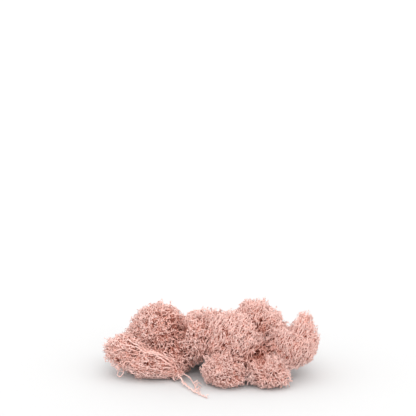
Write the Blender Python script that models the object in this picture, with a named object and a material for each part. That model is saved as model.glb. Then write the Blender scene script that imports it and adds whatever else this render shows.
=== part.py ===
"""Reindeer moss clump: a tangle of soft dyed lichen, lying on the surface under it.

The clump is a heap of bushy tufts. One lumpy body runs through the whole heap, and flat seams
share it out between the tufts as their cores. Forked three-sided sprigs stand out of each core,
and lean away from the root that the tuft grew from. Each tuft, core and sprigs together, is one
node. The low tufts rest flat on the surface, and one bare stem trails out at the front.
"""

import math
import random
from dataclasses import dataclass

import bmesh
import bpy
from mathutils import Matrix, Vector, geometry, noise
from mathutils.bvhtree import BVHTree

MM = 0.001


@dataclass(frozen=True)
class Level:
    """One forking of a sprig. Its spreads are in degrees, for a bushy and for a combed tuft."""

    share: float
    radius: float
    bushy: float
    combed: float

    def spread(self, combed):
        return math.radians(self.bushy + (self.combed - self.bushy) * combed)


@dataclass(frozen=True)
class Sprig:
    """A kind of sprig, by its stem's radius and its crown's tallest height."""

    radius: float
    crown: float
    levels: tuple


@dataclass(frozen=True)
class Tuft:
    """One bush of the clump: its places and sizes in millimetres, and its counts of sprigs."""

    name: str
    centre: tuple
    reach: tuple
    root: tuple
    sprigs: int
    fillers: int
    combed: float = 0.35

    @property
    def middle(self):
        return Vector(self.centre) * MM

    @property
    def base(self):
        return Vector(self.root) * MM

    @property
    def seed(self):
        return sum(self.name.encode())

    @property
    def size(self):
        return sum(self.reach) / len(self.reach) * MM

    @property
    def rests(self):
        return self.centre[2] < self.reach[2]

    @property
    def anchor(self):
        """Where the strands come from: the middle of a bushy tuft, and the root of a combed one."""
        return self.middle.lerp(self.base, self.combed)

    def reach_along(self, direction):
        """How far the tuft reaches from its middle, along a unit direction."""
        return 1 / Vector(d / (r * MM) for d, r in zip(direction, self.reach)).length

    def holds(self, place):
        """Whether a place is well inside the tuft."""
        offset = place - self.middle
        return offset.length < self.reach_along(offset.normalized()) * INSIDE_SHARE


@dataclass(frozen=True)
class Place:
    """Where a sprig of a tuft stands, and where its head is."""

    tuft: Tuft
    foot: Vector
    head: Vector

    @property
    def grow(self):
        return (self.head - self.foot).normalized()

    @property
    def reach(self):
        return max((self.head - self.foot).length, SHORTEST)

    @property
    def kind(self):
        return BIG if self.reach > SMALL_REACH else SMALL

    def gap_to(self, others):
        """How far the head is from the nearest of the others."""
        return min(((self.head - other.head).length for other in others), default=0)


# The body that the cores are cut from, as a share of how far the tufts reach
CORE_SHARE = 0.36
CORE_STIFFNESS = 4.0
CORE_FACET = 11.0 * MM
TRUNK = ((0, 1), (0.3, 0.85), (0.6, 0.75), (0.9, 0.7))
FOOT_HEIGHT = 4.0
HEART = (
    (-66, 8, 10), (-52, -8, 9), (-26, 6, 14), (0, 14, 12),
    (20, 2, 18), (60, 2, 18), (82, -8, 18), (60, -32, 9),
)
HEART_HALF = (19, 16, 8)
GRAIN_DEPTH = 4.5 * MM
GRAIN_SIZE = 10.0 * MM
SEAM = 0.4 * MM
CELL_SIZE = 1.0
CLEARANCE = 0.25 * MM

# How the heads of the sprigs are spread over the outside of the heap
DIRECTIONS = 220
HEAD_SHARE = 0.91
HEAD_ROOM = 4.0 * MM
INSIDE_SHARE = 0.8
UNDERSIDE_SLOPE = -0.5

# How more of them fill the furrows, where the cores are barest
FILLER_ROOM = 3.0 * MM
SHORTEST = 13.0 * MM
SMALL_REACH = 14.0 * MM

# How a sprig is rooted, and how it is fitted in where a neighbour is near
ROOT_DEPTH = 4.0 * MM
CROWN_SHARE = 0.95
TRIES = 10
SHORTEN = 0.07
BEND = 0.3
PRESS_DEPTH = 4.0 * MM
PRESS_ZONE = 3.5 * MM

# Its crown: each limb forks into three. A level's share is of the crown's height
LIMBS = Level(share=0.46, radius=1.8 * MM, bushy=52, combed=40)
BRANCHES = Level(share=0.40, radius=1.3 * MM, bushy=45, combed=40)
TIPS = Level(share=0.36, radius=0, bushy=38, combed=35)
TWIG_TIPS = Level(share=0.6, radius=0, bushy=40, combed=40)
BIG = Sprig(radius=2.1 * MM, crown=24.0 * MM, levels=(LIMBS, BRANCHES, TIPS))
SMALL = Sprig(radius=2.0 * MM, crown=15.0 * MM, levels=(LIMBS, TIPS))
TWIG = Sprig(radius=0.9 * MM, crown=6.0 * MM, levels=(TWIG_TIPS,))

# The bare stem that trails out over the surface, the side stem that leaves and rejoins it, and
# the twigs on them: (foot, direction)
STEM_CLEARANCE = 4.5 * MM
MAIN_STEM = (
    (-38, -30, 11), (-37, -35, 8.5), (-31.5, -47, 4), (-25, -63, 2.2),
    (-17.6, -80, 1.8), (-12, -86, 1.6), (-4.5, -96, 1.3),
)
SIDE_STEM = (
    (-37, -31, 10), (-27, -36, 7.5), (-21.7, -45, 5), (-19.4, -52, 3.5),
    (-17, -63, 2.4), (-17.6, -80, 1.8),
)
MAIN_RADIUS = 1.5 * MM
SIDE_RADIUS = 0.9 * MM
TWIG_STEM = 4.0 * MM
TWIGS = (
    ((-38, -37, 10), (-0.1, -0.8, 0.6)),
    ((-36, -34, 13), (0.1, -0.4, 0.9)),
    ((-32, -46, 3.8), (-0.7, -0.4, 0.5)),
    ((-21.7, -45, 4.8), (-0.4, -0.5, 0.8)),
    ((-19.4, -52, 3.3), (-0.8, -0.2, 0.6)),
    ((-17.1, -62, 2.3), (0.7, 0.1, 0.6)),
    ((-17.2, -72, 2.0), (0.5, 0.3, 0.7)),
    ((-12, -86, 1.4), (0.2, 0.3, 0.9)),
)

# The dyed lichen's finish
DYE_COLOUR = (0.62, 0.34, 0.29, 1.0)
DYE_ROUGHNESS = 0.95

GOLDEN_ANGLE = math.pi * (3 - math.sqrt(5))
BALL_EDGE = 0.68
UP = Vector((0, 0, 1))


TUFTS = (
    Tuft("crown_left", (-61, 12, 46), (33, 33, 33), root=(-56, 34, 8), sprigs=5, fillers=5),
    Tuft("left_fan", (-96, -10, 31), (27, 28, 27), (-40, -30, 12), sprigs=4, fillers=2, combed=0.7),
    Tuft("low_fan", (-68, -18, 14), (44, 29, 21), (-38, -32, 8), sprigs=5, fillers=5, combed=0.7),
    Tuft("back_left", (-72, 38, 24), (38, 30, 28), root=(-60, 20, 4), sprigs=3, fillers=4),
    Tuft("middle_hollow", (-40, -4, 20), (26, 26, 26), root=(-30, 10, 4), sprigs=2, fillers=5),
    Tuft("back_hollow", (-38, 32, 30), (26, 28, 28), root=(-34, 16, 4), sprigs=2, fillers=2),
    Tuft("middle_mound", (-15, -6, 42), (25, 31, 32), root=(-10, 14, 8), sprigs=4, fillers=3),
    Tuft("front_left_lobe", (13, -47, 17), (28, 26, 21), root=(16, -30, 12), sprigs=5, fillers=3),
    Tuft("diagonal_fan", (24, -18, 42), (35, 35, 37), (-2, -22, 0), sprigs=6, fillers=4, combed=0.8),
    Tuft("top_mound", (54, 10, 54), (33, 34, 31), (34, 2, 6), sprigs=5, fillers=3, combed=0.5),
    Tuft("right_fan", (92, -15, 40), (32, 34, 33), (76, -20, 2), sprigs=6, fillers=3, combed=0.8),
    Tuft("front_right_lobe", (63, -49, 15), (27, 25, 20), root=(64, -30, 10), sprigs=5, fillers=2),
    Tuft("inner_middle", (52, -22, 22), (24, 24, 24), root=(50, 0, 4), sprigs=2, fillers=4),
    Tuft("back_middle", (-4, 38, 32), (38, 32, 33), root=(-4, 18, 2), sprigs=4, fillers=4),
    Tuft("back_right", (62, 42, 32), (40, 30, 35), root=(54, 20, 2), sprigs=4, fillers=4),
)
KNOT = Tuft("trailing_stem", (-38, -32, 9), (11, 10, 9), (-44, -28, 12), sprigs=0, fillers=0)


def clear_scene():
    for obj in list(bpy.data.objects):
        bpy.data.objects.remove(obj)


def dyed_lichen():
    """The matte dyed finish that every tuft shares."""
    material = bpy.data.materials.new("dyed_lichen")
    material.use_nodes = True
    shader = material.node_tree.nodes["Principled BSDF"]
    shader.inputs["Base Color"].default_value = DYE_COLOUR
    shader.inputs["Roughness"].default_value = DYE_ROUGHNESS
    return material


def seams_of(tuft):
    """(point, inward normal) of the floor and of the flat seam against each other tuft."""
    seams = [(Vector(), UP)]
    for other in (*TUFTS, KNOT):
        if other is tuft:
            continue
        apart = other.middle - tuft.middle
        gap = apart.length
        towards = apart / gap
        own = (gap * gap + tuft.size**2 - other.size**2) / (2 * gap)
        seams.append((tuft.middle + towards * (own - SEAM / 2), -towards))
    return seams


def build_heap():
    """The lumpy body inside all the tufts, which reaches down to the floor under the low ones."""
    guide = bpy.data.metaballs.new("heap_guide")
    guide.resolution = CORE_FACET
    balls = [(place, HEART_HALF) for place in HEART]
    balls.append((KNOT.centre, KNOT.reach))
    for tuft in TUFTS:
        half = [CORE_SHARE * reach for reach in tuft.reach]
        for along, size in TRUNK:
            balls.append((tuft.middle.lerp(tuft.base, along) / MM, [size * r for r in half]))
        if tuft.rests:
            balls.append(((tuft.centre[0], tuft.centre[1], FOOT_HEIGHT), half))
    for place, half in balls:
        ball = guide.elements.new(type="ELLIPSOID")
        ball.co = Vector(place) * MM
        ball.size_x, ball.size_y, ball.size_z = Vector(half) * MM / BALL_EDGE
        ball.radius = 1
        ball.stiffness = CORE_STIFFNESS
    obj = bpy.data.objects.new("heap_guide", guide)
    bpy.context.scene.collection.objects.link(obj)
    graph = bpy.context.evaluated_depsgraph_get()
    mesh = bpy.data.meshes.new_from_object(obj.evaluated_get(graph))
    bpy.data.objects.remove(obj)
    bm = bmesh.new()
    bm.from_mesh(mesh)
    bmesh.ops.triangulate(bm, faces=bm.faces)
    bm.normal_update()
    for vert in bm.verts:
        vert.co += vert.normal * GRAIN_DEPTH * noise.noise(vert.co / GRAIN_SIZE)
    bmesh.ops.recalc_face_normals(bm, faces=bm.faces)
    bm.normal_update()
    return bm


def cell_between(seams):
    """The flat-sided room that a tuft's seams leave it."""
    bm = bmesh.new()
    bmesh.ops.create_cube(bm, size=CELL_SIZE)
    for point, inward in seams:
        everything = [*bm.verts, *bm.edges, *bm.faces]
        cut = bmesh.ops.bisect_plane(
            bm, geom=everything, plane_co=point, plane_no=-inward, clear_outer=True
        )
        rim = [part for part in cut["geom_cut"] if isinstance(part, bmesh.types.BMEdge)]
        if rim:
            bmesh.ops.edgeloop_fill(bm, edges=rim)
    bmesh.ops.recalc_face_normals(bm, faces=bm.faces)
    return bm


def cut_core(heap, seams):
    """A tuft's share of the heap's body, cut flat by its seams."""
    obj = mesh_object("core", heap.copy(), bpy.context.scene.collection)
    cell = mesh_object("cell", cell_between(seams), bpy.context.scene.collection)
    cut = obj.modifiers.new("seams", "BOOLEAN")
    cut.operation = "INTERSECT"
    cut.object = cell
    cut.solver = "MANIFOLD"
    graph = bpy.context.evaluated_depsgraph_get()
    mesh = bpy.data.meshes.new_from_object(obj.evaluated_get(graph))
    bpy.data.objects.remove(obj)
    bpy.data.objects.remove(cell)
    bm = bmesh.new()
    bm.from_mesh(mesh)
    bmesh.ops.triangulate(bm, faces=bm.faces)
    drop_scraps(bm)
    bmesh.ops.recalc_face_normals(bm, faces=bm.faces)
    if bm.calc_volume(signed=True) < 0:
        bmesh.ops.reverse_faces(bm, faces=bm.faces)
    bm.normal_update()
    return bm


def drop_scraps(bm):
    """Keeps the surface with the most faces, and drops loose scraps and sealed hollows."""
    left = set(bm.faces)
    surfaces = []
    while left:
        surface, waiting = set(), [next(iter(left))]
        while waiting:
            face = waiting.pop()
            if face not in surface:
                surface.add(face)
                folds = (edge for edge in face.edges if len(edge.link_faces) == 2)
                waiting.extend(other for edge in folds for other in edge.link_faces)
        left -= surface
        surfaces.append(surface)
    surfaces.sort(key=len)
    for surface in surfaces[:-1]:
        bmesh.ops.delete(bm, geom=list(surface), context="FACES")


def even_directions(count):
    """Directions spread evenly over the sphere, on a golden spiral."""
    for i in range(count):
        z = 1 - 2 * (i + 0.5) / count
        ring = math.sqrt(1 - z * z)
        yield Vector((ring * math.cos(i * GOLDEN_ANGLE), ring * math.sin(i * GOLDEN_ANGLE), z))


def outer_places(tuft, core):
    """Places for sprigs whose heads are on the outside of the heap."""
    seams = seams_of(tuft)
    tree = BVHTree.FromBMesh(core)
    for direction in even_directions(DIRECTIONS):
        head = tuft.middle + direction * tuft.reach_along(direction) * HEAD_SHARE
        buried = any(other.holds(head) for other in TUFTS if other is not tuft)
        if buried or any((head - at).dot(inward) < HEAD_ROOM for at, inward in seams):
            continue
        foot = tree.ray_cast(head, (tuft.anchor - head).normalized())[0]
        if not foot or any((foot - at).dot(inward) < CLEARANCE for at, inward in seams):
            foot = tree.find_nearest(head)[0]
        if (head - foot).normalized().z > UNDERSIDE_SLOPE:
            yield Place(tuft, foot, head)


def furrow_places(tuft, core):
    """Places for sprigs that stand square on a core, clear of its seams."""
    seams = seams_of(tuft)
    spots = [(face.calc_center_median(), face.normal) for face in core.faces]
    spots += [(vert.co, vert.normal) for vert in core.verts]
    for foot, normal in spots:
        clear = all((foot - at).dot(inward) > FILLER_ROOM for at, inward in seams)
        if clear and normal.z > UNDERSIDE_SLOPE:
            yield Place(tuft, foot.copy(), foot + normal * SHORTEST)


def spread_evenly(places, taken, count_of):
    """Adds each tuft's count of places to the taken ones, each as far from the rest as it can be."""
    counts = {tuft: count_of(tuft) for tuft in TUFTS}
    for turn in range(max(counts.values())):
        for tuft, count in counts.items():
            own = [place for place in places if place.tuft is tuft]
            if turn < count and own:
                taken.append(max(own, key=lambda place: place.gap_to(taken)))


def fork(bm, face, axis, spread, length, radius, draw):
    """Splits a three-sided end into three limbs that open round an axis.

    A radius of zero makes pointed tips. It gives each new end with its direction.
    """
    poked = bmesh.ops.poke(bm, faces=[face])
    hub = poked["verts"][0].co.copy()
    ends = []
    for end in bmesh.ops.extrude_discrete_faces(bm, faces=poked["faces"])["faces"]:
        outward = end.calc_center_median() - hub
        outward = (outward - axis * outward.dot(axis)).normalized()
        lean = spread * draw.uniform(0.7, 1.25)
        direction = axis * math.cos(lean) + outward * math.sin(lean)
        target = hub + direction * length * draw.uniform(0.75, 1.2)
        if radius:
            shape_end(end, hub, target, direction, outward, radius)
        else:
            bmesh.ops.pointmerge(bm, verts=end.verts, merge_co=target)
        ends.append((end, direction))
    return ends


def shape_end(end, hub, target, direction, outward, radius):
    """Moves a limb's end to its target as an even triangle that faces along the limb."""
    side = direction.cross(outward).normalized()
    up = side.cross(direction)
    for vert in end.verts:
        across = (vert.co - hub).dot(side)
        if abs(across) < 1e-6:
            corner = -up
        else:
            corner = up * 0.5 + side * math.copysign(math.sqrt(0.75), across)
        vert.co = target + corner * radius


def build_sprig(kind, stem, crown, combed, draw):
    """One sprig that grows up +Z from the origin."""
    bm = bmesh.new()
    bmesh.ops.create_cone(
        bm,
        cap_ends=True,
        segments=3,
        radius1=kind.radius,
        radius2=kind.radius * 0.85,
        depth=stem,
        matrix=Matrix.Translation((0, 0, stem / 2)),
    )
    top = max(bm.faces, key=lambda face: face.calc_center_median().z)
    ends = [(top, UP)]
    for level in kind.levels:
        spread = level.spread(combed)
        length = crown * level.share
        ends = [
            new_end
            for end, direction in ends
            for new_end in fork(bm, end, direction, spread, length, level.radius, draw)
        ]
    bmesh.ops.recalc_face_normals(bm, faces=bm.faces)
    return bm


def crosses_itself(bm):
    """Whether two faces that share no corner meet."""
    bm.faces.ensure_lookup_table()
    tree = BVHTree.FromBMesh(bm)
    return any(
        not set(bm.faces[a].verts) & set(bm.faces[b].verts) for a, b in tree.overlap(tree)
    )


def press(bm, seams):
    """Bends what comes near a seam to lie along it, and leaves its order unchanged."""
    for _ in range(3):
        for at, inward in seams:
            for vert in bm.verts:
                depth = (vert.co - at).dot(inward) - CLEARANCE
                if depth < PRESS_ZONE:
                    pressed = PRESS_ZONE * math.exp((depth - PRESS_ZONE) / PRESS_ZONE)
                    vert.co += inward * (pressed - depth)


def deepest(bm, seams):
    """How far a sprig reaches past a seam, with that seam's inward normal."""
    return max(
        ((-min((vert.co - at).dot(inward) for vert in bm.verts), inward) for at, inward in seams),
        key=lambda past: past[0],
    )


def near_stem(bm):
    """Whether a sprig comes too near to the trailing stems."""
    for route in (MAIN_STEM, SIDE_STEM):
        points = [Vector(point) * MM for point in route]
        for start, end in zip(points, points[1:]):
            for vert in bm.verts:
                share = geometry.intersect_point_line(vert.co, start, end)[1]
                nearest = start.lerp(end, min(max(share, 0), 1))
                if (vert.co - nearest).length < STEM_CLEARANCE:
                    return True
    return False


def fit_sprig(place, seams, draw):
    """A sprig at its place, or None where a neighbour leaves it no room."""
    kind, grow = place.kind, place.grow
    for trial in range(TRIES):
        crown = min(kind.crown, place.reach * CROWN_SHARE) * (1 - SHORTEN * trial)
        stem = max(place.reach - crown, 0) + ROOT_DEPTH
        bm = build_sprig(kind, stem, crown, place.tuft.combed, draw)
        turn = grow.to_track_quat("Z", "Y").to_matrix().to_4x4()
        spin = Matrix.Rotation(draw.uniform(0, math.tau), 4, "Z")
        sunk = Matrix.Translation(place.foot - grow * ROOT_DEPTH)
        bmesh.ops.transform(bm, matrix=sunk @ turn @ spin, verts=bm.verts)
        past, inward = deepest(bm, seams)
        if past < PRESS_DEPTH:
            press(bm, seams)
            clear = deepest(bm, seams)[0] < -CLEARANCE / 2 and not crosses_itself(bm)
            if clear and not near_stem(bm):
                return bm
        else:
            grow = (grow + inward * BEND).normalized()
        bm.free()
    return None


def mesh_object(name, bm, collection):
    mesh = bpy.data.meshes.new(name)
    bm.to_mesh(mesh)
    bm.free()
    obj = bpy.data.objects.new(name, mesh)
    collection.objects.link(obj)
    return obj


def join_into(obj, helpers):
    """Joins a collection of sprigs to the core in one union, and removes the sprigs."""
    union = obj.modifiers.new("sprigs", "BOOLEAN")
    union.operation = "UNION"
    union.operand_type = "COLLECTION"
    union.collection = helpers
    union.solver = "MANIFOLD"
    graph = bpy.context.evaluated_depsgraph_get()
    joined = bpy.data.meshes.new_from_object(obj.evaluated_get(graph))
    obj.modifiers.clear()
    bm = bmesh.new()
    bm.from_mesh(joined)
    bmesh.ops.triangulate(bm, faces=bm.faces)
    drop_scraps(bm)
    bm.to_mesh(joined)
    bm.free()
    obj.data = joined
    for helper in list(helpers.objects):
        bpy.data.objects.remove(helper)
    bpy.data.collections.remove(helpers)


def build_tuft(tuft, core, places, collection):
    """A core with its sprigs, as one object."""
    seams = seams_of(tuft)
    draw = random.Random(tuft.seed)
    helpers = bpy.data.collections.new(tuft.name + "_sprigs")
    bpy.context.scene.collection.children.link(helpers)
    sprigs = [fit_sprig(place, seams, draw) for place in places if place.tuft is tuft]
    for sprig in filter(None, sprigs):
        mesh_object("sprig", sprig, helpers)
    obj = mesh_object(tuft.name, core, collection)
    join_into(obj, helpers)
    return obj


def build_trailing_stem(heap, collection):
    """The knot at the front, with the stems and twigs that trail out of it."""
    seams = seams_of(KNOT)
    draw = random.Random(KNOT.seed)
    helpers = bpy.data.collections.new("trailing_stem_limbs")
    bpy.context.scene.collection.children.link(helpers)
    stem_object(MAIN_STEM, MAIN_RADIUS, helpers)
    stem_object(SIDE_STEM, SIDE_RADIUS, helpers)
    for foot, direction in TWIGS:
        twig = build_sprig(TWIG, TWIG_STEM, TWIG.crown, KNOT.combed, draw)
        turn = Vector(direction).to_track_quat("Z", "Y").to_matrix().to_4x4()
        place = Matrix.Translation(Vector(foot) * MM) @ turn
        bmesh.ops.transform(twig, matrix=place, verts=twig.verts)
        mesh_object("twig", twig, helpers)
    obj = mesh_object(KNOT.name, cut_core(heap, seams), collection)
    join_into(obj, helpers)
    return obj


def stem_object(points, radius, collection):
    """A four-sided stem that thins out along its points."""
    curve = bpy.data.curves.new("stem", "CURVE")
    curve.dimensions = "3D"
    curve.bevel_depth = radius
    curve.bevel_resolution = 0
    curve.use_fill_caps = True
    spline = curve.splines.new("POLY")
    spline.points.add(len(points) - 1)
    for i, (at, point) in enumerate(zip(points, spline.points)):
        point.co = (*(Vector(at) * MM), 1)
        point.radius = 1 - 0.5 * i / (len(points) - 1)
    guide = bpy.data.objects.new("stem_guide", curve)
    collection.objects.link(guide)
    graph = bpy.context.evaluated_depsgraph_get()
    mesh = bpy.data.meshes.new_from_object(guide.evaluated_get(graph))
    bpy.data.objects.remove(guide)
    bm = bmesh.new()
    bm.from_mesh(mesh)
    bmesh.ops.remove_doubles(bm, verts=bm.verts, dist=1e-7)
    bmesh.ops.recalc_face_normals(bm, faces=bm.faces)
    return mesh_object("stem", bm, collection)


def centre_on_origin(objects):
    """Moves the clump so that the middle of its underside is the origin."""
    corners = [vert.co for obj in objects for vert in obj.data.vertices]
    low = Vector(min(corner[i] for corner in corners) for i in range(3))
    high = Vector(max(corner[i] for corner in corners) for i in range(3))
    shift = Vector((-(low.x + high.x) / 2, -(low.y + high.y) / 2, -low.z))
    for obj in objects:
        obj.data.transform(Matrix.Translation(shift))


def main():
    clear_scene()
    clump = bpy.data.collections.new("reindeer_moss_clump")
    bpy.context.scene.collection.children.link(clump)
    material = dyed_lichen()
    heap = build_heap()
    cores = [cut_core(heap, seams_of(tuft)) for tuft in TUFTS]
    outer = [place for tuft, core in zip(TUFTS, cores) for place in outer_places(tuft, core)]
    inner = [place for tuft, core in zip(TUFTS, cores) for place in furrow_places(tuft, core)]
    places = []
    spread_evenly(outer, places, lambda tuft: tuft.sprigs)
    spread_evenly(inner, places, lambda tuft: tuft.fillers)
    tufts = [build_tuft(tuft, core, places, clump) for tuft, core in zip(TUFTS, cores)]
    tufts.append(build_trailing_stem(heap, clump))
    centre_on_origin(tufts)
    for obj in tufts:
        obj.data.materials.clear()
        obj.data.materials.append(material)


main()
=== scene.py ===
"""The looks of a reindeer moss clump: soft, finely forked lichen, dyed a dusty pink.

Each tuft of the model is replaced by a bush of forked strands that fills the same room. Stout
limbs run from the tuft's root through its heart, a dense netted core coloured in painted shade,
which shows only at the bottom of the pits. From the limbs the strands grow towards points that
are spread through the tuft's outer layer, so that they fork and fill it as the real ones do, and
each ends in a small star of points. The strands' dye is darkened deeper in the heap with painted
shade. The bare stem at the front follows its own route.

Lengths are in millimetres unless they say otherwise. An object's mesh is in metres.
"""

import math
from dataclasses import dataclass

import bmesh
import bpy
import numpy as np
from mathutils import Euler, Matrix, Vector, kdtree, noise


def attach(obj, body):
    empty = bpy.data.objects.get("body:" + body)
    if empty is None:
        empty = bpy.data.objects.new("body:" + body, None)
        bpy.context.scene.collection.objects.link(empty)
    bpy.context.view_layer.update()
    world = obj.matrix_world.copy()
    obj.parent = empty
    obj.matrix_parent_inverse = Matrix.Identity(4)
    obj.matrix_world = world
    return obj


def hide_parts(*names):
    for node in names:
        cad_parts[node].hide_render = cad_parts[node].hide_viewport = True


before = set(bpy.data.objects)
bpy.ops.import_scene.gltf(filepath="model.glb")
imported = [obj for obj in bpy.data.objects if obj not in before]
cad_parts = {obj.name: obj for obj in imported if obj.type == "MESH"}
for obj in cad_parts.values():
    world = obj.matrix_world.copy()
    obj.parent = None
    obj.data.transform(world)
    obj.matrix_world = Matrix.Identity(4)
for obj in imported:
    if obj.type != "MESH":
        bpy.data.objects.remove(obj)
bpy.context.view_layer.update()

MM = 0.001

# How the places of the tufts move to the frame's origin
RECENTRE = (-2.6, 11.6, 0)

# The outside of the heap: the tufts' rooms run together, drawn in, and made lumpy
BLEND = 3.0
INSET = 3.3
LUMP_SIZE = 14.0
LUMP_DEPTH = 2.5
BUD_SIZE = 5.5
BUD_DEPTH = 4.0
LUMPS_REACH = 4.5
PIT_SPACING = 7.5
PIT_REACH = 0.39
ROOM_MARGIN = 1.3

# Where strands grow: the outer layer of the heap, all of it, and a share of what is deeper
GRAIN = 1.84
LAYER = 5.5
DEEP_SHARE = 0.07

# How near the floor strands, limbs, limbs' ends and stars' points may come
FLOOR_GAP = 0.9
LIMB_GAP = FLOOR_GAP + 1
LIMB_END_GAP = FLOOR_GAP + 2
POINT_GAP = 0.45

# The limbs that carry the strands, from the root to this share of the way out
LIMB_DIRECTIONS = 120
FAN_LIMB_DIRECTIONS = 84
LIMB_SHARE = 0.76
LIMB_COVER = 5.0
FAN_LIMB_SHARE = 0.78
FAN_LIMB_COVERS = (0.2, 1.5, 3.0)
FAN_LIMB_TURN = 0.45
LIMB_BOW = 5.0
LIMB_WAVE = 0.8

# The strands led along listed points: their steps, how often their corners are cut, and how far they
# stray
ROUTE_STEP = 1.8
CORNER_CUTS = 3
ROUTE_WANDER = 0.4

# How the other strands grow: the first three are in grains, the rest are shares and counts
STEP = 0.82
EATEN = 0.76
PULL_REACH = 3.2
MOMENTUM = 0.2
FAN_MOMENTUM = 0.6
WANDER = 0.5
FAN_WANDER = 0.3
MOST_FORKS = 3
MOST_STEPS = 40
SMOOTHING = 0.15

# How thick the strands are, and the star of points at each end
TIP_RADIUS = 0.45
TAPER = 0.13
THICKEST = 0.82
POINT_LENGTH = (0.7, 1.4)
POINT_SPREAD = 0.7
POINTS = 2

# The short twigs along the strands
TWIG_SHARE = 0.25
ROUTE_TWIG_SHARE = 0.6
TWIG_STEP = (0.8, 1.5)
TWIG_BEND = 0.6
TWIG_RADIUS = 0.38

# The hearts: how finely they are made, and how deep the pits go into them
CORE_DETAIL = 5
CORE_HALVINGS = 9
CORE_PIT = 5.5

# A bush's material slot for its heart, after the one for its strands
HEART_SLOT = 1

# Vertices nearer than this are merged, in metres
WELD = 1e-6

# The colours from the outside in, the dye and then painted shade deeper in, how unevenly the
# dye took, and in how many patches to a metre
STRAND_DYE_AND_SHADE = ((0.84, 0.575, 0.52), (0.86, 0.5, 0.425), (0.76, 0.35, 0.27))
# The hearts' colours, from the outside in, are painted shade for the shadowed strands deep inside
HEART_SHADE_COLORS = ((0.9, 0.575, 0.505), (0.8, 0.41, 0.33), (0.27, 0.075, 0.05))
STRAND_UNEVENNESS = 0.6
HEART_UNEVENNESS = 0.8
PATCHES = 110
SPECULAR = 0.1

# The net of the hearts: how many meshes to a metre, where its strands end, and the painted shade
# between them
NET = 560
NET_EDGE = (0.09, 0.18)
NET_GAP_SHADE = (0.3, 0.08, 0.05)

# How far in the painted shade is deepest, in the heap without its dips, run together more widely
DIM_DEPTH = 9.0
DIM_BLEND = 8.0
DIM_INSET = 7.0

# The color sockets of a Mix node
MIX_A, MIX_B, MIX_RESULT = 6, 7, 2

# The floor, the light and the camera, in metres and degrees
FLOOR_REACH = 6
FLOOR_GREY = 0.54
SKY_STRENGTH = 1.62
KEY_STRENGTH = 1.1
KEY_SPREAD = 40
KEY_DIRECTION = (-0.3, 1.7, -1.2)
CAMERA_PLACE = (-0.0059, -2.4748, 0.7915)
CAMERA_TILT = 76.38
CAMERA_LENS = 200.6
CAMERA_SENSOR = 36


@dataclass(frozen=True)
class Room:
    """A rounded room, by its middle and how far it reaches each way."""

    centre: tuple
    reach: tuple

    @property
    def middle(self):
        return np.add(self.centre, RECENTRE)

    @property
    def size(self):
        return sum(self.reach) / len(self.reach)

    def share(self, places):
        """How far out places are, from 0 at the middle to 1 at the room's outside."""
        return np.linalg.norm((places - self.middle) / self.reach, axis=-1)

    def depth(self, places):
        """Roughly how far inside the room places are."""
        return (1 - self.share(places)) * self.size


@dataclass(frozen=True)
class Route:
    """A strand led along given points: the points that it passes, and its radii at its foot and end.
    """

    points: tuple
    radii: tuple = (0.7, 0.55)


@dataclass(frozen=True)
class Tuft(Room):
    """One bush of the clump, which grows out of its root.

    Its strands run along its streak, drawn out by its stretch. Its coarseness widens the gaps
    among them. Its heart lies deeper than core_depth. Its routes are strands led along listed
    points, and its sprays are rooms with a count of further points that strands grow towards.
    """

    name: str
    root: tuple
    streak: tuple = (0, 0, 1)
    stretch: float = 1.0
    core_depth: float = 4.5
    pit_reach: float = PIT_REACH
    coarseness: float = 1.0
    routes: tuple = ()
    sprays: tuple = ()

    @property
    def base(self):
        return np.add(self.root, RECENTRE)

    @property
    def seed(self):
        return sum(self.name.encode())

    @property
    def grain(self):
        """The mean distance between the points that strands grow towards, with the tuft drawn in."""
        return GRAIN * self.coarseness / self.stretch ** (1 / 3)

    def draw_in(self):
        """The turn of space that shortens it along the streak."""
        along = unit(np.array(self.streak, float))
        return np.eye(3) - (1 - 1 / self.stretch) * np.outer(along, along)


CROWN_SPIKES = (
    Route(((-54, 12, 70), (-53.8, 12, 75), (-54.5, 11, 81))),
    Route(((-46, 10, 68), (-44.8, 10, 74), (-45.5, 10, 79.5))),
)
ARCH = (
    Route(
        (
            (-29.1, -10, 58), (-28.5, -8, 64), (-26.9, -6, 69.4), (-17.9, -6, 74.1), (-5.6, -6, 74.7),
            (3.4, -10, 70.7), (5.6, -15, 62.8),
        ),
        (0.65, 0.55),
    ),
    Route(((-10, -6, 70), (-9, -6, 74), (-8.5, -6, 78.5))),
    Route(((-4.5, -6, 70), (-3.4, -6, 74), (-4.2, -6, 78))),
)
HOOKS = (
    Route(((-98, -22, 38), (-105.3, -20, 42.1), (-110.9, -15, 41.7), (-118.7, -10, 42.6))),
    Route(((-110.9, -15, 41.7), (-114, -15, 39.5), (-116, -15, 38))),
    Route(((-96, -25, 14), (-97.4, -30, 6), (-101, -31, 3), (-104.2, -30, 4.2), (-103, -27, 9))),
)
MAIN_STEM = Route(
    (
        (-38, -30, 11), (-37, -35, 8.5), (-31.5, -47, 4), (-25, -63, 2.2),
        (-17.6, -80, 1.8), (-12, -86, 1.6), (-4.5, -96, 1.3),
    ),
    (1.25, 0.7),
)
SIDE_STEM = Route(
    (
        (-37, -31, 10), (-27, -36, 7.5), (-21.7, -45, 5), (-19.4, -52, 3.5),
        (-17, -63, 2.4), (-17.6, -80, 1.8),
    ),
    (0.8, 0.6),
)

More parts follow.
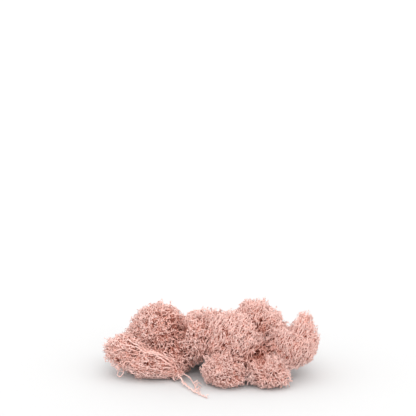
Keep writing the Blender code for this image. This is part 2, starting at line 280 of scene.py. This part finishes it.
BUSHES = (
    Tuft((-61, 12, 46), (33, 33, 33), "crown_left", (-56, 34, 8), routes=CROWN_SPIKES),
    Tuft(
        (-95, -10, 27), (27, 28, 25), "left_fan", (-40, -30, 12),
        streak=(-0.9, 0.2, 0.35), stretch=1.3, routes=HOOKS,
    ),
    Tuft(
        (-68, -18, 14), (44, 29, 21), "low_fan", (-38, -32, 8),
        streak=(-0.97, -0.1, 0.08), stretch=1.5, core_depth=6.0,
    ),
    Tuft((-72, 38, 24), (38, 30, 28), "back_left", (-60, 20, 4), coarseness=1.25),
    Tuft((-40, -4, 20), (26, 26, 26), "middle_hollow", (-30, 10, 4)),
    Tuft((-38, 32, 30), (26, 28, 28), "back_hollow", (-34, 16, 4)),
    Tuft((-15, -6, 42), (25, 31, 32), "middle_mound", (-10, 14, 8), routes=ARCH),
    Tuft((13, -47, 17), (28, 27, 22), "front_left_lobe", (16, -30, 12), coarseness=0.87),
    Tuft(
        (24, -18, 42), (35, 35, 37), "diagonal_fan", (-2, -10, 2),
        streak=(0.5, 0.35, 0.8), stretch=3.2, pit_reach=0.36,
    ),
    Tuft(
        (54, 10, 54), (33, 34, 31), "top_mound", (34, 8, 6),
        streak=(0.45, 0.3, 0.85), stretch=1.8, pit_reach=0.36,
    ),
    Tuft(
        (91, -15, 40), (32, 34, 33), "right_fan", (76, -14, 4),
        streak=(0.46, 0.2, 0.88), stretch=2.8, core_depth=3.5, pit_reach=0.0,
    ),
    Tuft((63, -49, 15), (27, 26, 21), "front_right_lobe", (64, -30, 10), coarseness=0.87),
    Tuft((52, -22, 22), (24, 24, 24), "inner_middle", (50, 0, 4)),
    Tuft((-4, 38, 32), (38, 32, 33), "back_middle", (-4, 18, 2), coarseness=1.25),
    Tuft((62, 42, 32), (40, 30, 35), "back_right", (54, 20, 2), coarseness=1.25),
)
KNOT = Tuft(
    (-38, -32, 9), (11, 10, 9), "trailing_stem", (-38, -28, 8),
    routes=(MAIN_STEM, SIDE_STEM),
    sprays=(
        (Room((-16, -54, 5), (5, 9, 4)), 15),
        (Room((-12.5, -68, 4.5), (4, 9, 4)), 13),
        (Room((-30, -52, 5), (4, 6, 3)), 5),
        (Room((-13, -83, 4), (4, 5, 3)), 8),
        (Room((-6, -93, 3), (3, 4, 2)), 3),
    ),
)
TUFTS = (*BUSHES, KNOT)

# Where the heap swells past the tufts' rooms, where it dips between them, and where it is hollowed
SWELLS = (
    Room((-46, 4, 60), (16, 17, 19)),
    Room((103, -10, 58), (14, 20, 18)),
    Room((22, -60, 9), (18, 13, 9)),
    Room((72, -60, 9), (18, 13, 9)),
)
DIPS = (
    Room((53, -50, 33), (8, 19, 7)),
    Room((-34, -24, 58), (8, 20, 18)),
    Room((-41, -28, 46), (8, 14, 9)),
    Room((-54, -30, 38), (10, 12, 6)),
)
HOLLOWS = (
    Room((87, 10, 78), (11, 70, 28)),
    Room((82, 10, 92), (27, 70, 28)),
    Room((92, 55, 66), (24, 30, 32)),
    Room((-124, -20, -2), (30, 50, 21)),
    Room((95, -56, 8), (9, 16, 9)),
    Room((-118, 5, 58), (28, 45, 18)),
    Room((-118, 45, 46), (26, 40, 16)),
    Room((-76, -52, -3), (50, 22, 13)),
    Room((-93, -38, 0), (11, 22, 13)),
    Room((43, -72, 6), (5, 14, 12)),
)

# Where the right fan thins out to a fringe that can be seen through
FRINGE = Room((106, -8, 66), (22, 40, 20))
FRINGE_SHARE = 0.45


def unit(vectors):
    """The vectors at length one."""
    return vectors / np.maximum(np.linalg.norm(vectors, axis=-1, keepdims=True), 1e-9)


def blended_depth(places, blend, hollows):
    """How far inside the tufts' rooms places are, run together and hollowed out."""
    rooms = np.array([room.depth(places) for room in (*TUFTS, *SWELLS)])
    depth = blend * np.log(np.exp(rooms / blend).sum(axis=0))
    for hollow in hollows:
        depth = np.minimum(depth, INSET - hollow.depth(places))
    return depth


def depth_in_heap(places):
    """Roughly how far inside the heap's outside places are."""
    return blended_depth(places, BLEND, (*HOLLOWS, *DIPS)) - INSET


def in_own_cell(tuft, places):
    """Whether places belong to this tuft, by the flat seams that part it from the others."""
    own = ((places - tuft.middle) ** 2).sum(axis=1) - tuft.size**2
    others = [
        ((places - other.middle) ** 2).sum(axis=1) - other.size**2
        for other in TUFTS
        if other is not tuft
    ]
    return own <= np.min(others, axis=0)


def lumps(places):
    """How much further out the strands reach at places than the smooth outside does."""
    return np.array([
        LUMP_DEPTH * noise.noise(Vector(place) / LUMP_SIZE)
        + BUD_DEPTH * noise.noise(Vector(place) / BUD_SIZE)
        for place in places
    ])


def in_pits(places, reach):
    """Whether places lie in the small round pits that riddle the heap."""
    return np.array([noise.voronoi(Vector(place) / PIT_SPACING)[0][0] < reach for place in places])


def food_for(tuft, draw):
    """The points that the strands of a tuft grow towards, evenly spread along and across them."""
    stretch = np.linalg.inv(tuft.draw_in())
    radius = max(tuft.reach) * ROOM_MARGIN
    cells = np.arange(-radius, radius, tuft.grain)
    grid = np.stack(np.meshgrid(cells, cells, cells, indexing="ij"), axis=-1).reshape(-1, 3)
    grid += draw.uniform(0, 1, grid.shape) * tuft.grain
    places = tuft.middle + grid @ stretch
    depth = depth_in_heap(places)
    deep = draw.random(len(places)) < DEEP_SHARE
    kept = (depth > -LUMPS_REACH) & ((depth < LAYER) | deep) & (places[:, 2] > FLOOR_GAP)
    places = places[kept]
    places = places[in_own_cell(tuft, places)]
    places = places[depth_in_heap(places) + lumps(places) > 0]
    places = places[~in_pits(places, tuft.pit_reach)]
    thinned = (FRINGE.share(places) < 1) & (draw.random(len(places)) < FRINGE_SHARE)
    places = places[~thinned]
    sprays = [
        room.middle + unit(draw.normal(size=(count, 3))) * draw.random((count, 1)) * room.reach
        for room, count in tuft.sprays
    ]
    return np.vstack([places, *sprays])


def even_directions(count):
    """Directions spread evenly over the sphere, on a golden spiral."""
    turn = math.pi * (3 - math.sqrt(5)) * np.arange(count)
    height = 1 - 2 * (np.arange(count) + 0.5) / count
    ring = np.sqrt(1 - height**2)
    return np.stack([ring * np.cos(turn), ring * np.sin(turn), height], axis=1)


def drawn_in(tuft, points, astray, rounds, share):
    """The points, once those that are astray have been drawn in towards the tuft's middle."""
    for _ in range(rounds):
        out = astray(points)
        points[out] += (tuft.middle - points[out]) * share
    return points


def limb_points(tuft, end, draw):
    """A limb's points from the tuft's base to its end. A fan's limbs soon run along its streak."""
    count = max(int(np.linalg.norm(end - tuft.base) / ROUTE_STEP), 2)
    along = np.arange(1, count + 1)[:, None] / count
    way = end - tuft.base
    if tuft.stretch > 1:
        streak = unit(np.array(tuft.streak, float))
        ahead = streak * (way @ streak)
        points = tuft.base + ahead * along + (way - ahead) * along**FAN_LIMB_TURN
    else:
        points = tuft.base + way * along
    points = points + draw.normal(0, LIMB_BOW, 3) * np.sin(math.pi * along)
    points += draw.normal(0, LIMB_WAVE, points.shape)
    cover = draw.choice(FAN_LIMB_COVERS) if tuft.stretch > 1 else LIMB_COVER
    points = drawn_in(
        tuft, points, lambda places: depth_in_heap(places) < cover, rounds=6, share=0.08
    )
    points[:, 2] = np.maximum(points[:, 2], LIMB_GAP)
    return points


def along_route(route, draw):
    """Points a step apart on a smooth line through a route's own points, with their radii."""
    points = np.add(route.points, RECENTRE)
    for _ in range(CORNER_CUTS):
        early = points[:-1] * 0.75 + points[1:] * 0.25
        late = points[:-1] * 0.25 + points[1:] * 0.75
        between = np.stack([early, late], axis=1).reshape(-1, 3)
        points = np.vstack([points[:1], between, points[-1:]])
    length = np.append(0, np.linalg.norm(np.diff(points, axis=0), axis=1).cumsum())
    at = np.linspace(0, length[-1], max(int(length[-1] / ROUTE_STEP), 2))
    smooth = np.stack([np.interp(at, length, points[:, i]) for i in range(3)], axis=1)
    smooth[1:] += draw.normal(0, ROUTE_WANDER, smooth[1:].shape)
    return smooth, np.interp(at, (0, length[-1]), route.radii)


def limbs_of(tuft, draw):
    """(nodes, parents, least radii): the stout limbs of a tuft, and the strands led along listed
    points.
    """
    fan = tuft.stretch > 1
    share = FAN_LIMB_SHARE if fan else LIMB_SHARE
    count = FAN_LIMB_DIRECTIONS if fan else LIMB_DIRECTIONS
    ends = tuft.middle + even_directions(count) * np.array(tuft.reach) * share
    ends = drawn_in(tuft, ends, lambda places: ~in_own_cell(tuft, places), rounds=5, share=0.15)
    ends = ends[ends[:, 2] > LIMB_END_GAP]
    nodes = [tuft.base]
    parents = [0]
    least = [0]
    for end in ends:
        last = 0
        for point in limb_points(tuft, end, draw):
            nodes.append(point)
            parents.append(last)
            least.append(0)
            last = len(nodes) - 1
    for route in tuft.routes:
        points, radii = along_route(route, draw)
        last = int(np.linalg.norm(np.array(nodes) - points[0], axis=1).argmin())
        for point, radius in zip(points, radii):
            nodes.append(point)
            parents.append(last)
            least.append(radius)
            last = len(nodes) - 1
    return np.array(nodes), np.array(parents), np.array(least)


def grow(tuft, nodes, parents, food, draw):
    """Grows the strands a step at a time, each node towards the food that it is nearest to."""
    grain = tuft.grain
    fan = tuft.stretch > 1
    momentum = FAN_MOMENTUM if fan else MOMENTUM
    wander = FAN_WANDER if fan else WANDER
    nearest = np.zeros(len(food), int)
    gap = np.full(len(food), np.inf)
    left = np.arange(len(food))
    children = np.bincount(parents, minlength=len(nodes))
    fresh = 0
    for _ in range(MOST_STEPS):
        tree = kdtree.KDTree(len(nodes) - fresh)
        for i in range(fresh, len(nodes)):
            tree.insert(nodes[i], i)
        tree.balance()
        for i in left:
            _, near, distance = tree.find(food[i])
            if distance < gap[i]:
                gap[i] = distance
                nearest[i] = near
        left = left[gap[left] > EATEN * grain]
        near = gap[left] < PULL_REACH * grain
        pulled = left[near & (children[nearest[left]] < MOST_FORKS)]
        if not len(pulled):
            break
        pull = np.zeros_like(nodes)
        np.add.at(pull, nearest[pulled], unit(food[pulled] - nodes[nearest[pulled]]))
        growing = np.unique(nearest[pulled])
        ahead = unit(nodes[growing] - nodes[parents[growing]])
        ahead *= momentum * (children[growing] == 0)[:, None]
        stray = draw.normal(0, wander, (len(growing), 3))
        new = nodes[growing] + STEP * grain * unit(unit(pull[growing]) + ahead + stray)
        children[growing] += 1
        children = np.append(children, np.zeros(len(new), int))
        fresh = len(nodes)
        nodes = np.vstack([nodes, new])
        parents = np.append(parents, growing)
    return nodes, parents


def leaves_of(parents):
    """How many ends hang on each node."""
    leaves = np.zeros(len(parents), int)
    for node in range(len(parents) - 1, 0, -1):
        leaves[node] = max(leaves[node], 1)
        leaves[parents[node]] += leaves[node]
    return leaves


def heirs_of(parents, leaves):
    """The child that each strand goes on in, with the most ends, or -1 at an end."""
    heirs = np.full(len(parents), -1)
    for node in range(1, len(parents)):
        heir = heirs[parents[node]]
        if heir < 0 or leaves[node] > leaves[heir]:
            heirs[parents[node]] = node
    return heirs


def smoothed(nodes, parents, heirs):
    """The nodes with the zigzags taken out of each strand."""
    inner = np.flatnonzero(heirs >= 0)[1:]
    between = (nodes[parents[inner]] + nodes[heirs[inner]]) / 2
    nodes = nodes.copy()
    nodes[inner] += (between - nodes[inner]) * SMOOTHING
    return nodes


def strands_of(tuft):
    """Every strand of a tuft, as (points, radii), from where it forks off to its end."""
    draw = np.random.default_rng(tuft.seed)
    squeeze = tuft.draw_in()
    food = food_for(tuft, draw)
    nodes, parents, least = limbs_of(tuft, draw)
    nodes, parents = grow(tuft, nodes @ squeeze, parents, food @ squeeze, draw)
    nodes = nodes @ np.linalg.inv(squeeze)
    leaves = leaves_of(parents)
    heirs = heirs_of(parents, leaves)
    nodes = smoothed(smoothed(nodes, parents, heirs), parents, heirs)
    nodes[:, 2] = np.maximum(nodes[:, 2], FLOOR_GAP)
    radii = np.minimum(TIP_RADIUS * leaves**TAPER, THICKEST)
    radii[: len(least)] = np.maximum(radii[: len(least)], least)
    strands = []
    for node in range(1, len(parents)):
        parent = parents[node]
        if heirs[parent] == node and parent:
            continue
        run = [parent, node]
        while heirs[run[-1]] >= 0:
            run.append(heirs[run[-1]])
        points = nodes[run]
        thick = radii[run]
        thick[0] = thick[1]
        strands.append((points, thick))
        strands.extend(star_at(points, thick[-1], squeeze, draw))
    strands.extend(twigs_on(nodes[len(least):], TWIG_SHARE / tuft.stretch, squeeze, draw))
    strands.extend(twigs_on(nodes[: len(least)][least > 0], ROUTE_TWIG_SHARE, squeeze, draw))
    return strands


def twigs_on(nodes, share, squeeze, draw):
    """Short bent twigs that stand out from the strands every which way, in a fan along it."""
    feet = nodes[draw.random(len(nodes)) < share]
    way = unit(draw.normal(size=feet.shape) @ np.linalg.inv(squeeze @ squeeze))
    knees = feet + way * draw.uniform(*TWIG_STEP, (len(feet), 1))
    way = unit(way + draw.normal(0, TWIG_BEND, feet.shape))
    tips = knees + way * draw.uniform(*TWIG_STEP, (len(feet), 1))
    twigs = np.stack([feet, knees, tips], axis=1)
    twigs[:, :, 2] = np.maximum(twigs[:, :, 2], FLOOR_GAP)
    return [(twig, np.array([TWIG_RADIUS, TWIG_RADIUS, TWIG_RADIUS / 2])) for twig in twigs]


def star_at(points, radius, squeeze, draw):
    """The points that open at the end of a strand."""
    end = points[-1]
    ahead = unit(end - points[-2])
    star = []
    for _ in range(POINTS):
        way = unit(ahead + draw.normal(0, POINT_SPREAD, 3) @ np.linalg.inv(squeeze))
        tip = end + way * draw.uniform(*POINT_LENGTH)
        tip[2] = max(tip[2], POINT_GAP)
        star.append((np.array([end - ahead * radius, tip]), np.array([radius, 0])))
    return star


def placed(name, data):
    """A new object in the scene, at the origin."""
    obj = bpy.data.objects.new(name, data)
    bpy.context.scene.collection.objects.link(obj)
    return obj


def three_sided():
    """The outline that strands are swept with."""
    profile = bpy.data.curves.new("three_sided", "CURVE")
    profile.dimensions = "2D"
    spline = profile.splines.new("POLY")
    spline.points.add(2)
    for i, point in enumerate(spline.points):
        angle = math.tau * i / 3
        point.co = (math.cos(angle), math.sin(angle), 0, 1)
    spline.use_cyclic_u = True
    return placed("three_sided", profile)


def sweep(name, strands, profile):
    """A mesh of strands, each swept along its points at its radii."""
    curve = bpy.data.curves.new(name, "CURVE")
    curve.dimensions = "3D"
    curve.bevel_mode = "OBJECT"
    curve.bevel_object = profile
    curve.use_fill_caps = True
    for points, radii in strands:
        spline = curve.splines.new("POLY")
        spline.points.add(len(points) - 1)
        places = np.ones((len(points), 4))
        places[:, :3] = points * MM
        spline.points.foreach_set("co", places.ravel())
        spline.points.foreach_set("radius", np.array(radii, float) * MM)
    guide = placed(name + "_guide", curve)
    graph = bpy.context.evaluated_depsgraph_get()
    mesh = bpy.data.meshes.new_from_object(guide.evaluated_get(graph))
    bpy.data.objects.remove(guide)
    bpy.data.curves.remove(curve)
    return mesh


def in_core(tuft, places):
    """Whether places are in the dense heart of a tuft."""
    deep = depth_in_heap(places) + lumps(places) > tuft.core_depth
    dense = FRINGE.share(places) > 1
    return deep & dense & in_own_cell(tuft, places) & (places[:, 2] > FLOOR_GAP)


def add_core(bm, tuft):
    """Adds a tuft's heart: a ball whose corners go out until they leave the core."""
    made = bmesh.ops.create_icosphere(bm, subdivisions=CORE_DETAIL, radius=1)
    directions = np.array([vert.co for vert in made["verts"]])
    inside = np.zeros(len(directions))
    outside = np.full(len(directions), max(tuft.reach) * ROOM_MARGIN)
    for _ in range(CORE_HALVINGS):
        between = (inside + outside) / 2
        within = in_core(tuft, tuft.middle + directions * between[:, None])
        inside = np.where(within, between, inside)
        outside = np.where(within, outside, between)
    pits = in_pits(tuft.middle + directions * inside[:, None], tuft.pit_reach)
    inside = np.maximum(inside - CORE_PIT * pits, 0)
    for vert, direction, distance in zip(made["verts"], directions, inside):
        vert.co = (tuft.middle + direction * distance) * MM
        for face in vert.link_faces:
            face.material_index = HEART_SLOT


def bush(tuft, profile):
    """One mesh object: a tuft's strands, and its heart behind them."""
    name = tuft.name + "_strands"
    mesh = sweep(name, strands_of(tuft), profile)
    bm = bmesh.new()
    bm.from_mesh(mesh)
    bmesh.ops.remove_doubles(bm, verts=bm.verts, dist=WELD)
    add_core(bm, tuft)
    bmesh.ops.triangulate(bm, faces=bm.faces)
    bm.to_mesh(mesh)
    bm.free()
    mesh.shade_smooth()
    stamp_depth(mesh)
    return placed(name, mesh)


def stamp_depth(mesh):
    """Stores how deep in the heap each corner lies, from 0 outside to 1 where the painted shade is
    darkest.
    """
    places = np.zeros(len(mesh.vertices) * 3)
    mesh.vertices.foreach_get("co", places)
    places = places.reshape(-1, 3) / MM
    depth = (blended_depth(places, DIM_BLEND, HOLLOWS) - DIM_INSET) / DIM_DEPTH
    layer = mesh.attributes.new("depth", "FLOAT", "POINT")
    layer.data.foreach_set("value", np.clip(depth, 0, 1).astype(np.float32))


def dye_and_shade_group():
    """Shader nodes for the dye with painted shade: paler outside, deeper inside the heap as painted
    shade, and uneven in patches.
    """
    group = bpy.data.node_groups.new("uneven_dye_and_shade", "ShaderNodeTree")
    for name in ("Pale", "Middle", "Deep"):
        group.interface.new_socket(name, in_out="INPUT", socket_type="NodeSocketColor")
    group.interface.new_socket("Unevenness", in_out="INPUT", socket_type="NodeSocketFloat")
    group.interface.new_socket("Color", in_out="OUTPUT", socket_type="NodeSocketColor")
    nodes = group.nodes
    given = nodes.new("NodeGroupInput")
    result = nodes.new("NodeGroupOutput")
    place = nodes.new("ShaderNodeTexCoord")
    patches = nodes.new("ShaderNodeTexNoise")
    patches.inputs["Scale"].default_value = PATCHES
    depth = nodes.new("ShaderNodeAttribute")
    depth.attribute_name = "depth"
    centred = nodes.new("ShaderNodeMath")
    centred.operation = "SUBTRACT"
    centred.inputs[1].default_value = 0.5
    deepened = nodes.new("ShaderNodeMath")
    deepened.operation = "MULTIPLY_ADD"
    group.links.new(place.outputs["Object"], patches.inputs["Vector"])
    group.links.new(patches.outputs["Fac"], centred.inputs[0])
    group.links.new(centred.outputs[0], deepened.inputs[0])
    group.links.new(given.outputs["Unevenness"], deepened.inputs[1])
    group.links.new(depth.outputs["Fac"], deepened.inputs[2])
    color = given.outputs["Pale"]
    for start, name in ((0.0, "Middle"), (0.5, "Deep")):
        reach = nodes.new("ShaderNodeMapRange")
        reach.inputs["From Min"].default_value = start
        reach.inputs["From Max"].default_value = start + 0.5
        mix = nodes.new("ShaderNodeMix")
        mix.data_type = "RGBA"
        group.links.new(deepened.outputs[0], reach.inputs["Value"])
        group.links.new(reach.outputs["Result"], mix.inputs["Factor"])
        group.links.new(color, mix.inputs[MIX_A])
        group.links.new(given.outputs[name], mix.inputs[MIX_B])
        color = mix.outputs[MIX_RESULT]
    group.links.new(color, result.inputs["Color"])
    return group


def matte(name, roughness):
    """A new matte material, with its nodes' tree and its shader."""
    material = bpy.data.materials.new(name)
    material.use_nodes = True
    shader = material.node_tree.nodes["Principled BSDF"]
    shader.inputs["Roughness"].default_value = roughness
    shader.inputs["Specular IOR Level"].default_value = SPECULAR
    return material, material.node_tree, shader


def dyed_and_shaded(tree, group, colors, unevenness):
    """The color output of the dye and its painted shade, with these colors from the outside in."""
    dye_and_shade = tree.nodes.new("ShaderNodeGroup")
    dye_and_shade.node_tree = group
    for name, color in zip(("Pale", "Middle", "Deep"), colors):
        dye_and_shade.inputs[name].default_value = (*color, 1)
    dye_and_shade.inputs["Unevenness"].default_value = unevenness
    return dye_and_shade.outputs["Color"]


def shaded_heart_material(group, tuft):
    """The dim inside of a tuft, in painted shade: a net of deeper strands along its streak, with
    painted shade darker between them.
    """
    material, tree, shader = matte(tuft.name + "_heart_shade", roughness=0.95)
    place = tree.nodes.new("ShaderNodeTexCoord")
    turned = tree.nodes.new("ShaderNodeMapping")
    turned.vector_type = "TEXTURE"
    turned.inputs["Rotation"].default_value = Vector(tuft.streak).to_track_quat("Z", "Y").to_euler()
    turned.inputs["Scale"].default_value = (1, 1, tuft.stretch)
    net = tree.nodes.new("ShaderNodeTexVoronoi")
    net.feature = "DISTANCE_TO_EDGE"
    net.inputs["Scale"].default_value = NET
    reach = tree.nodes.new("ShaderNodeMapRange")
    reach.inputs["From Min"].default_value = NET_EDGE[0]
    reach.inputs["From Max"].default_value = NET_EDGE[1]
    relief = tree.nodes.new("ShaderNodeBump")
    relief.invert = True
    relief.inputs["Distance"].default_value = MM
    mix = tree.nodes.new("ShaderNodeMix")
    mix.data_type = "RGBA"
    mix.inputs[MIX_B].default_value = (*NET_GAP_SHADE, 1)
    tree.links.new(place.outputs["Object"], turned.inputs["Vector"])
    tree.links.new(turned.outputs["Vector"], net.inputs["Vector"])
    tree.links.new(net.outputs["Distance"], reach.inputs["Value"])
    tree.links.new(reach.outputs["Result"], mix.inputs["Factor"])
    tree.links.new(reach.outputs["Result"], relief.inputs["Height"])
    tree.links.new(relief.outputs["Normal"], shader.inputs["Normal"])
    tree.links.new(dyed_and_shaded(tree, group, HEART_SHADE_COLORS, HEART_UNEVENNESS), mix.inputs[MIX_A])
    tree.links.new(mix.outputs[MIX_RESULT], shader.inputs["Base Color"])
    return material


def lichen_material(group):
    """The matte strands: dyed, with painted shade deeper in the heap."""
    material, tree, shader = matte("dyed_lichen", roughness=0.9)
    color = dyed_and_shaded(tree, group, STRAND_DYE_AND_SHADE, STRAND_UNEVENNESS)
    tree.links.new(color, shader.inputs["Base Color"])
    return material


def dress(obj, node, materials):
    """Gives a bush its materials, and lets it stand for a node of the model."""
    for material in materials:
        obj.data.materials.append(material)
    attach(obj, "root")
    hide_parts(node)


def build_floor():
    """The pale floor under the clump."""
    mesh = bpy.data.meshes.new("floor")
    bm = bmesh.new()
    bmesh.ops.create_grid(bm, x_segments=1, y_segments=1, size=FLOOR_REACH)
    bm.to_mesh(mesh)
    bm.free()
    material = bpy.data.materials.new("pale_floor")
    material.use_nodes = True
    shader = material.node_tree.nodes["Principled BSDF"]
    shader.inputs["Base Color"].default_value = (FLOOR_GREY, FLOOR_GREY, FLOOR_GREY, 1)
    shader.inputs["Roughness"].default_value = 0.9
    mesh.materials.append(material)
    placed("floor", mesh)


def build_light():
    """A bright white room, and one broad soft lamp from the front right."""
    world = bpy.data.worlds.new("studio")
    bpy.context.scene.world = world
    world.use_nodes = True
    background = world.node_tree.nodes["Background"]
    background.inputs["Color"].default_value = (1, 1, 1, 1)
    background.inputs["Strength"].default_value = SKY_STRENGTH
    lamp = bpy.data.lights.new("soft_key", "SUN")
    lamp.energy = KEY_STRENGTH
    lamp.angle = math.radians(KEY_SPREAD)
    key = placed("soft_key", lamp)
    key.rotation_euler = Vector(KEY_DIRECTION).to_track_quat("-Z", "Y").to_euler()


def build_camera():
    """The camera, in front of the clump and a little above it."""
    bpy.context.scene.view_settings.view_transform = "Standard"
    camera = bpy.data.cameras.new("camera")
    camera.lens = CAMERA_LENS
    camera.sensor_width = CAMERA_SENSOR
    obj = placed("camera", camera)
    obj.location = CAMERA_PLACE
    obj.rotation_euler = Euler((math.radians(CAMERA_TILT), 0, 0))
    bpy.context.scene.camera = obj


def main():
    """Builds the bushes and their stage."""
    group = dye_and_shade_group()
    lichen = lichen_material(group)
    profile = three_sided()
    for tuft in TUFTS:
        obj = bush(tuft, profile)
        dress(obj, tuft.name, (lichen, shaded_heart_material(group, tuft)))
    bpy.data.objects.remove(profile)
    build_floor()
    build_light()
    build_camera()


main()
